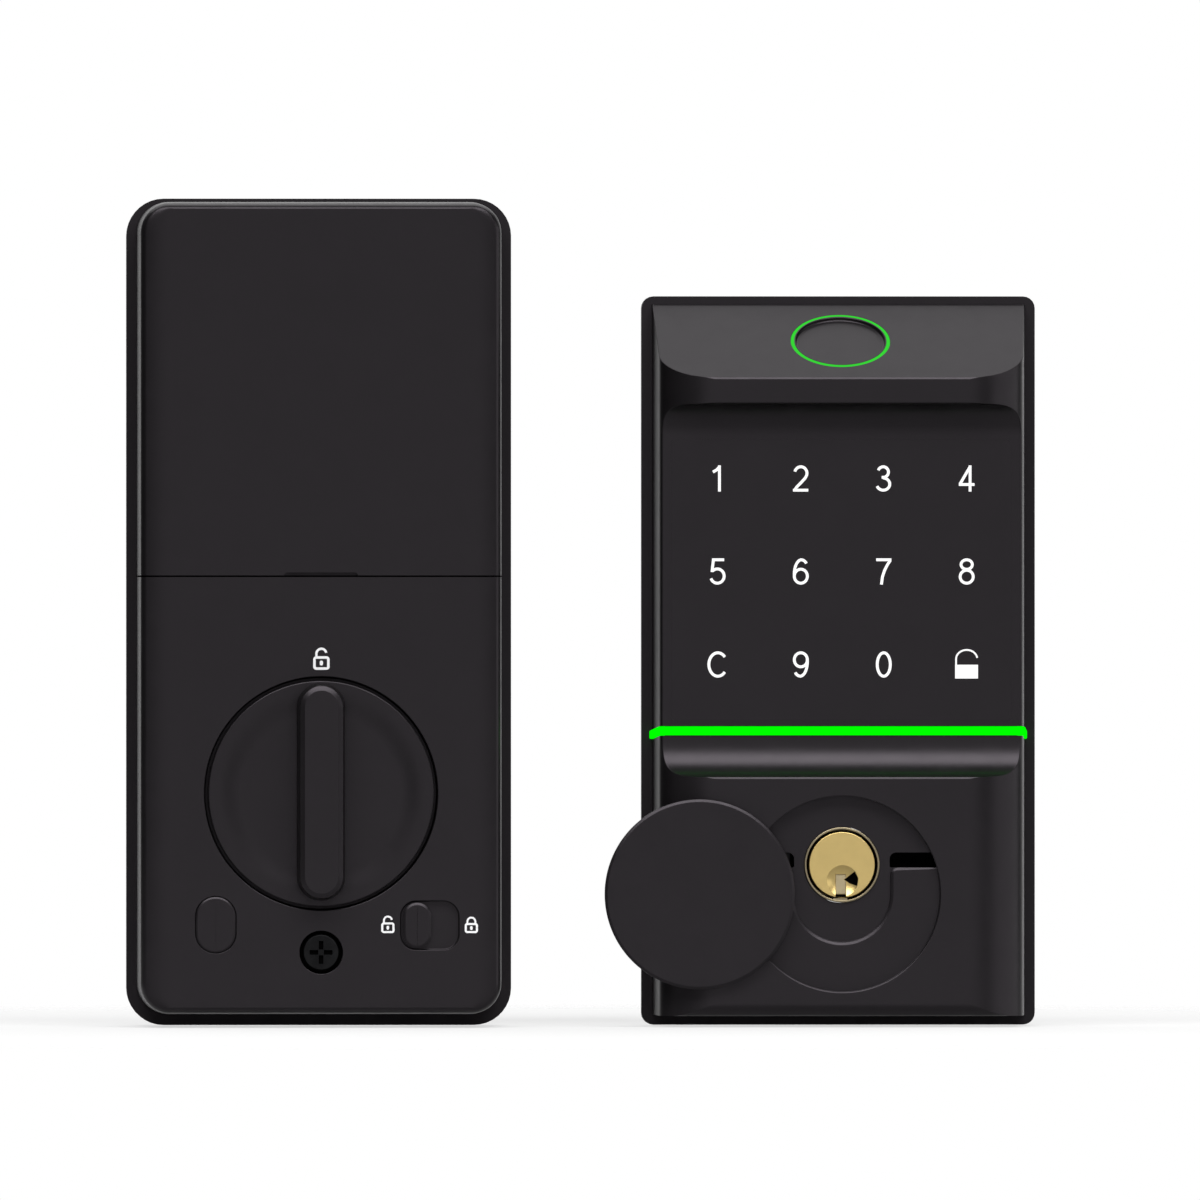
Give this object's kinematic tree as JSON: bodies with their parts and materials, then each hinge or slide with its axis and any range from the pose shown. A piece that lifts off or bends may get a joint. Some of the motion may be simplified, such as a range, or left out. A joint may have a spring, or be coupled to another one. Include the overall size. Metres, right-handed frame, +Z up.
{
  "type": "keypad smart lock",
  "caption": "Two-part smart deadbolt lock set: keypad and fingerprint unit with a key cylinder and swing cover, and an indoor thumb-turn unit with battery bay.",
  "frame": {"origin": "where the key cylinder's axis crosses the door face", "axes": "+X to the right seen from the front, +Y into the door, +Z up; both units' fronts face -Y"},
  "size_m": [0.169, 0.0875, 0.1536],
  "materials": {
    "matte_black": "fine-grained matte black case plastic",
    "rim_black": "darker matte black rim plastic",
    "cast_black": "black powder-coated zinc casting",
    "cover_black": "satin black painted zinc",
    "panel_black": "matte black touch film over plastic",
    "sensor_black": "dark coated sensor window",
    "green_light": "lit green light guide",
    "brass": "machined brass, lightly brushed",
    "steel": "zinc-plated steel",
    "black_steel": "black oxide steel",
    "rubber": "black seal rubber",
    "circuit": "green solder mask on a circuit board",
    "dark_plastic": "dark grey moulded plastic",
    "socket_plastic": "natural connector plastic",
    "cell_jacket": "printed steel cell jacket, no lettering",
    "contact_metal": "nickel-plated contact strip"
  },
  "bodies": {
    "root": {"exterior_gasket": "rubber", "exterior_base_plate": "cast_black", "exterior_shell": "matte_black", "cable_grommet": "rubber", "exterior_case_screw_1": "steel", "exterior_case_screw_2": "steel", "exterior_case_screw_3": "steel", "exterior_case_screw_4": "steel", "touch_panel": "panel_black", "keypad_board": "circuit", "keypad_cable_socket": "socket_plastic", "light_bar": "green_light", "fingerprint_light_ring": "green_light", "fingerprint_window": "sensor_black", "fingerprint_module": "dark_plastic", "cylinder_housing": "brass", "cylinder_screw_1": "steel", "cylinder_screw_2": "steel", "mounting_post_1": "steel", "mounting_post_2": "steel", "cover_spring": "steel", "cover_bracket": "dark_plastic", "mounting_plate": "steel", "interior_base": "rim_black", "lower_shell": "matte_black", "gear_motor": "steel", "control_board": "circuit", "tact_switch": "dark_plastic", "slide_switch": "steel", "front_screw": "black_steel", "plate_screw_1": "steel", "plate_screw_2": "steel", "interior_case_screw_1": "steel", "interior_case_screw_2": "steel", "battery_tray": "dark_plastic", "battery_cell_1": "cell_jacket", "battery_cell_2": "cell_jacket", "battery_cell_3": "cell_jacket", "battery_cell_4": "cell_jacket", "contact_terminal_plus": "contact_metal", "contact_link_1": "contact_metal", "contact_link_2": "contact_metal", "contact_link_3": "contact_metal", "contact_terminal_minus": "contact_metal", "main_board": "circuit"},
    "keyhole_cover": {"keyhole_cover": "cover_black", "cover_post": "steel", "cover_clip": "steel"},
    "key_cylinder": {"cylinder_plug": "brass", "plug_cap": "brass", "tailpiece": "steel"},
    "thumb_turn": {"thumb_turn": "cover_black", "spindle_gear": "steel", "spindle_socket": "steel", "spindle_circlip": "steel"},
    "motor_pinion": {"motor_pinion": "brass"},
    "battery_cover": {"battery_cover": "matte_black"},
    "pairing_button": {"pairing_button": "matte_black"},
    "privacy_knob": {"privacy_knob": "matte_black"}
  },
  "joints": [
    {"name": "keyhole_cover_swing", "type": "hinge", "parent": "root", "child": "keyhole_cover", "pos_m": [-0.01325, -0.027, 0.00095], "axis": [0, -1, 0], "range_deg": [0, 128.8]},
    {"name": "key_turn", "type": "hinge", "parent": "root", "child": "key_cylinder", "pos_m": [0, 0, 0], "axis": [0, -1, 0], "range_deg": [-90, 90]},
    {"name": "thumb_turn_rotate", "type": "hinge", "parent": "root", "child": "thumb_turn", "pos_m": [-0.0967, 0, 0.0133], "axis": [0, -1, 0], "range_deg": [-90, 90]},
    {"name": "motor_pinion_spin", "type": "hinge", "parent": "root", "child": "motor_pinion", "pos_m": [-0.0857, -0.01, 0.03235], "axis": [0, -1, 0], "range_deg": [-270, 270]},
    {"name": "battery_cover_slide", "type": "slide", "parent": "root", "child": "battery_cover", "axis": [0, 0, 1], "range_m": [0, 0.072]},
    {"name": "pairing_button_press", "type": "slide", "parent": "root", "child": "pairing_button", "axis": [0, 1, 0], "range_m": [0, 0.001], "stiffness_N_per_m": 800, "springref_m": -0.0005},
    {"name": "privacy_knob_slide", "type": "slide", "parent": "root", "child": "privacy_knob", "axis": [1, 0, 0], "range_m": [0, 0.0046]}
  ],
  "couplings": [
    {"joint": "motor_pinion_spin", "follows": "thumb_turn_rotate", "ratio": -3}
  ]
}
